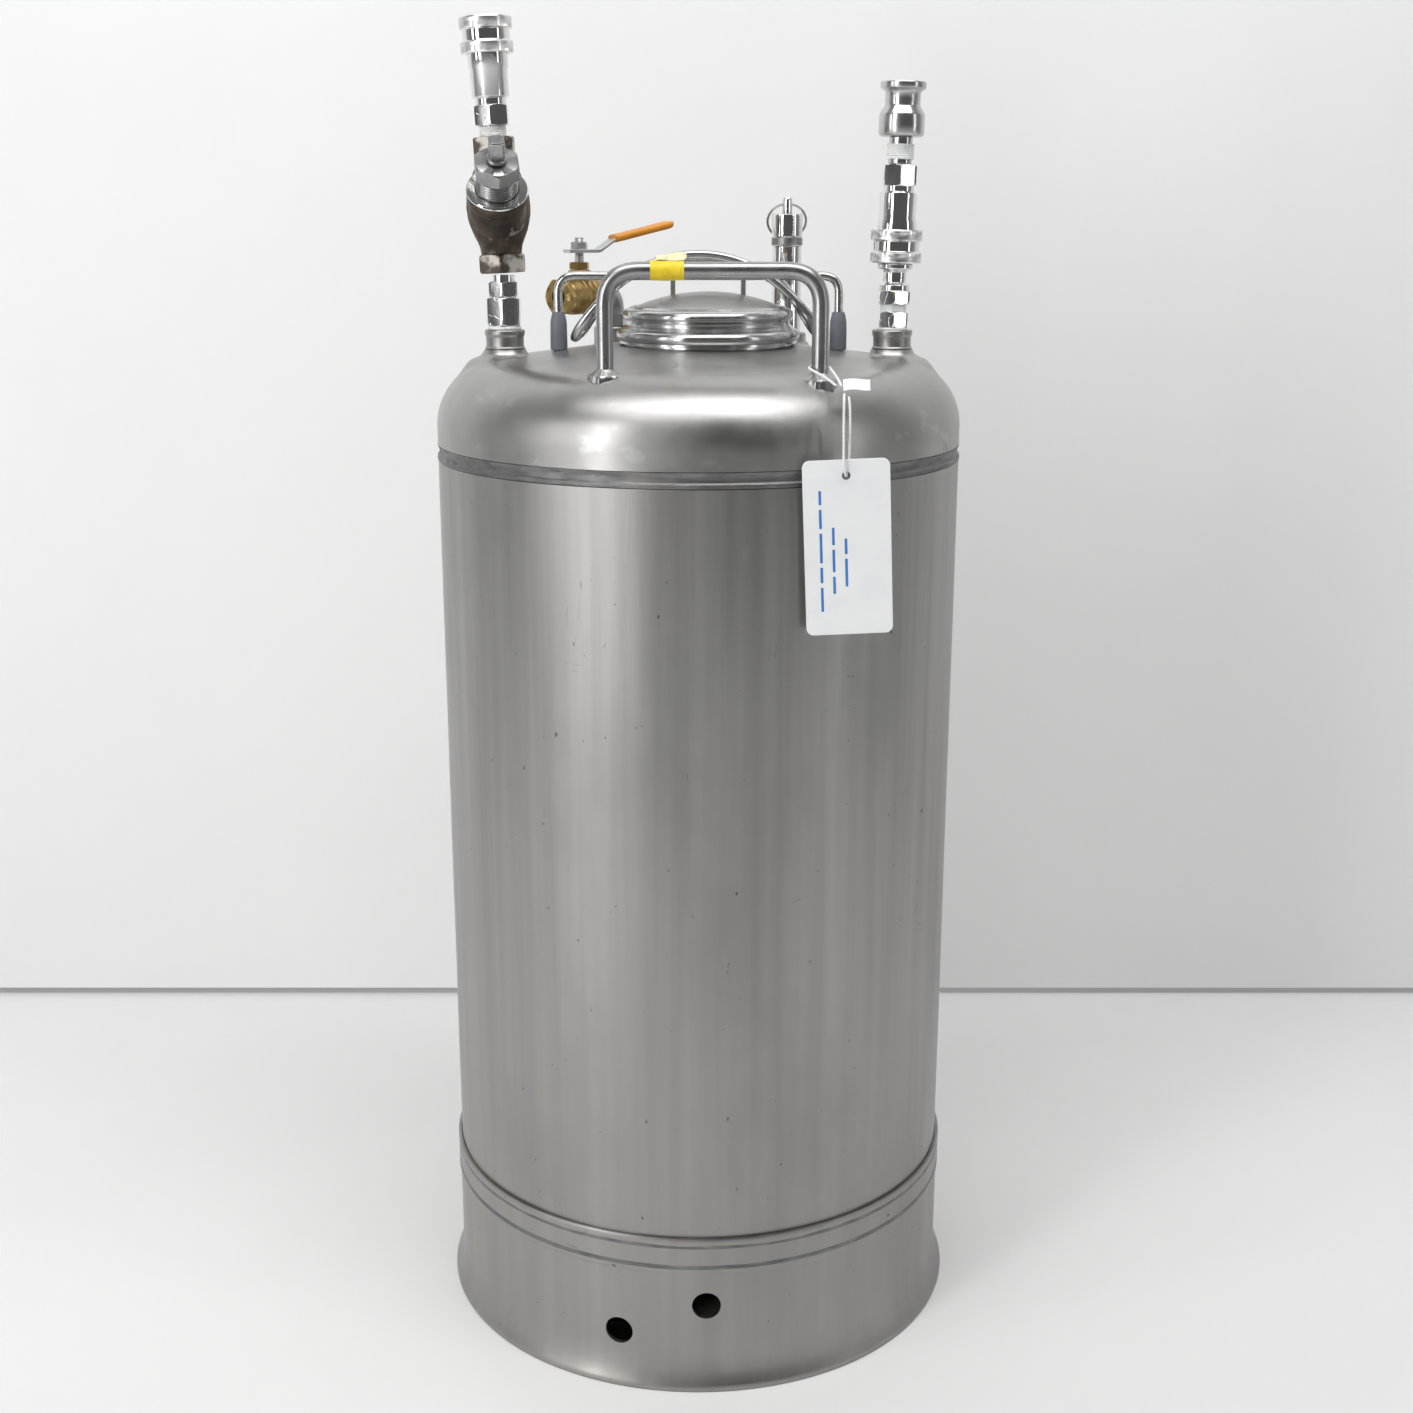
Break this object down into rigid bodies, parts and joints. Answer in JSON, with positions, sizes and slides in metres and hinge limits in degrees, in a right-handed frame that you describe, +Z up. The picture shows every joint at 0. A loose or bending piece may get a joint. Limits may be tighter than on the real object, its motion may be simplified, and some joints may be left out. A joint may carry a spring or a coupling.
{
  "type": "liquid nitrogen dewar",
  "caption": "Skirted stainless steel cryogenic vessel with a clamp-down oval hatch, carry handle, quick-coupling stacks, relief valve, lever ball valve and hanging tag.",
  "frame": {"origin": "on the floor at the centre of the foot skirt's bottom rim", "axes": "+Z up along the vessel axis, -Y towards the side with the carry handle and the hanging tag, the two coupling stacks on the X axis"},
  "size_m": [0.344, 0.344, 0.8319],
  "materials": {
    "satin_steel": "drawn and lightly brushed stainless sheet, scuffed",
    "weld_steel": "ground weld bands and weld beads, darker than the sheet",
    "bright_steel": "bright drawn stainless wire and pressings",
    "plated_fitting": "bright nickel-plated machined fittings",
    "cast_bronze": "dark oxidised cast bronze",
    "brass": "dull machined brass",
    "grey_rubber": "matt grey moulded rubber",
    "black_rubber": "matt black moulded rubber",
    "orange_vinyl": "dipped orange vinyl",
    "yellow_tape": "creased yellow plastic tape",
    "white_tape": "white thread-sealing tape",
    "white_plastic": "smooth white plastic card",
    "white_string": "thin twisted white string"
  },
  "bodies": {
    "vessel": {"outer_shell": "satin_steel", "shoulder_weld_band": "weld_steel", "bottom_head": "satin_steel", "top_head": "satin_steel", "foot_skirt": "satin_steel", "skirt_lap_band": "weld_steel", "inner_vessel": "bright_steel", "dip_tube": "bright_steel", "gas_tube": "bright_steel", "mouth_collar": "bright_steel", "carry_handle": "satin_steel", "handle_tape": "yellow_tape", "liquid_port_boss": "satin_steel", "liquid_hex_bushing": "plated_fitting", "liquid_port_tape": "white_tape", "liquid_hex_nipple": "plated_fitting", "angle_valve_body": "cast_bronze", "bonnet_washer": "plated_fitting", "bonnet_plug": "satin_steel", "coupler_thread_tape": "white_tape", "coupler_close_nipple": "bright_steel", "left_coupler_body": "plated_fitting", "gas_port_boss": "satin_steel", "gas_hex_bushing": "plated_fitting", "gas_plug": "plated_fitting", "right_coupler_body": "plated_fitting", "gas_upper_nipple": "bright_steel", "gas_nipple_tape": "white_tape", "flange_adapter": "bright_steel", "relief_port_boss": "satin_steel", "relief_body": "plated_fitting", "relief_lock_ring": "brass", "relief_cap": "plated_fitting", "vent_port_boss": "satin_steel", "vent_elbow": "satin_steel", "ball_valve_body": "brass", "ball_valve_tail_nut": "brass", "packing_nut": "brass", "tag_string_clasp": "white_plastic", "tag_string_upper": "white_string"},
    "lid": {"lid": "satin_steel", "lid_gasket": "black_rubber"},
    "bail": {"bail": "bright_steel", "bail_boot_left": "grey_rubber", "bail_boot_right": "grey_rubber"},
    "valve_stem": {"valve_stem": "weld_steel"},
    "left_sleeve": {"left_coupler_sleeve": "plated_fitting"},
    "left_poppet": {"left_coupler_poppet": "bright_steel"},
    "right_sleeve": {"right_coupler_sleeve": "plated_fitting"},
    "relief_pin": {"relief_pull_pin": "plated_fitting"},
    "relief_ring": {"relief_pull_ring": "bright_steel"},
    "lever": {"valve_ball": "plated_fitting", "valve_spindle": "satin_steel", "valve_lever": "bright_steel", "lever_grip": "orange_vinyl", "lever_nut": "bright_steel"},
    "tag": {"hanging_tag": "white_plastic", "tag_string_lower": "white_string"}
  },
  "joints": [
    {"name": "lid_lift", "type": "slide", "parent": "vessel", "child": "lid", "axis": [0, 0, 1], "range_m": [0, 0.1]},
    {"name": "bail_swing", "type": "hinge", "parent": "lid", "child": "bail", "pos_m": [0, 0, 0.679], "axis": [1, 0, 0], "range_deg": [0, 90]},
    {"name": "stem_turn", "type": "hinge", "parent": "vessel", "child": "valve_stem", "pos_m": [-0.1237, -0.01, 0.71596], "axis": [0.0811, -0.659, 0.7478], "range_deg": [0, 360]},
    {"name": "left_sleeve_slide", "type": "slide", "parent": "vessel", "child": "left_sleeve", "axis": [0.0471, 0, -0.9989], "range_m": [0, 0.006], "stiffness_N_per_m": 900, "springref_m": -0.004},
    {"name": "left_poppet_slide", "type": "slide", "parent": "vessel", "child": "left_poppet", "axis": [0.0471, 0, -0.9989], "range_m": [0, 0.005], "stiffness_N_per_m": 900, "springref_m": -0.003},
    {"name": "right_sleeve_slide", "type": "slide", "parent": "vessel", "child": "right_sleeve", "axis": [0.0209, 0, 0.9998], "range_m": [0, 0.004], "stiffness_N_per_m": 900, "springref_m": -0.003},
    {"name": "relief_pull", "type": "slide", "parent": "vessel", "child": "relief_pin", "axis": [0, 0, 1], "range_m": [0, 0.003], "stiffness_N_per_m": 1500, "springref_m": -0.003},
    {"name": "ring_swing", "type": "hinge", "parent": "relief_pin", "child": "relief_ring", "pos_m": [0.058, 0.062, 0.723], "axis": [1, 0, 0], "range_deg": [0, 100]},
    {"name": "lever_turn", "type": "hinge", "parent": "vessel", "child": "lever", "pos_m": [-0.079, 0.074, 0.664], "axis": [0, 0, 1], "range_deg": [0, 90]},
    {"name": "tag_swing", "type": "hinge", "parent": "vessel", "child": "tag", "pos_m": [0.082, -0.15, 0.619], "axis": [-1, 0, 0], "range_deg": [0, 35]}
  ]
}
